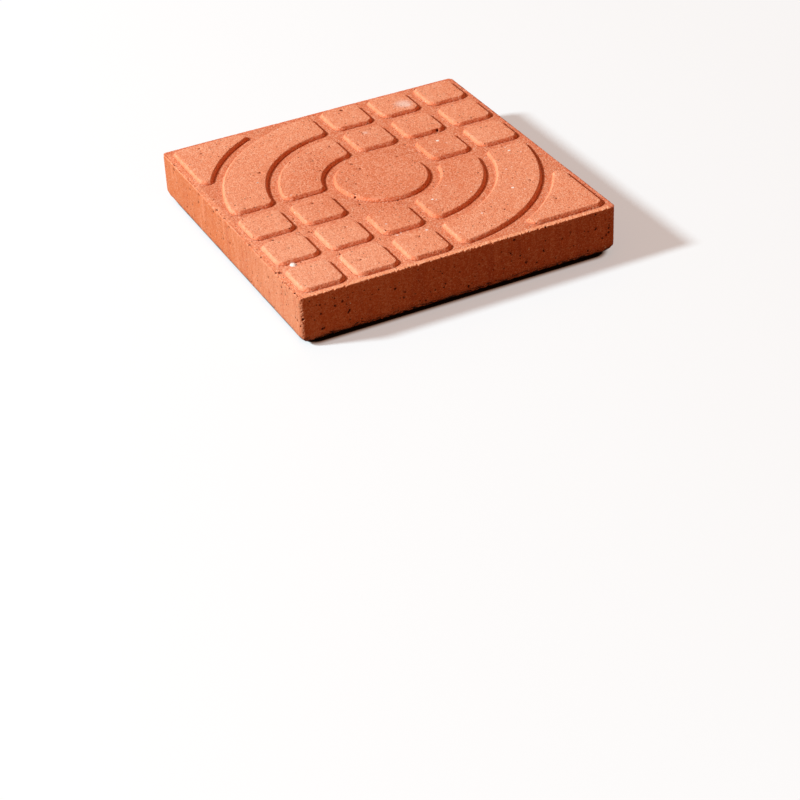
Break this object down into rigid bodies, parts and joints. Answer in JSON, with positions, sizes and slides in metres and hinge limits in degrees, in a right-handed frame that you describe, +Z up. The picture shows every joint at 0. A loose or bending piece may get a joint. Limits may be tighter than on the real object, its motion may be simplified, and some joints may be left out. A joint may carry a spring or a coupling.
{
  "type": "concrete paving stone",
  "caption": "Square cast concrete paving stone with a raised pattern of square, arc, corner and disc pads over flat ground, laid flat as an outdoor walking surface.",
  "frame": {"origin": "middle of the bed face, on the surface that the stone lies on", "axes": "+Z up out of the patterned walking face, +X and +Y square to the sides, with the quarters of squares towards -X -Y and +X +Y"},
  "size_m": [0.3, 0.3, 0.05],
  "materials": {
    "red_concrete": "matt cast concrete, pigmented salmon red right through, fine sandy grain with small air holes"
  },
  "bodies": {
    "root": {"paving_stone": "red_concrete"}
  },
  "joints": []
}
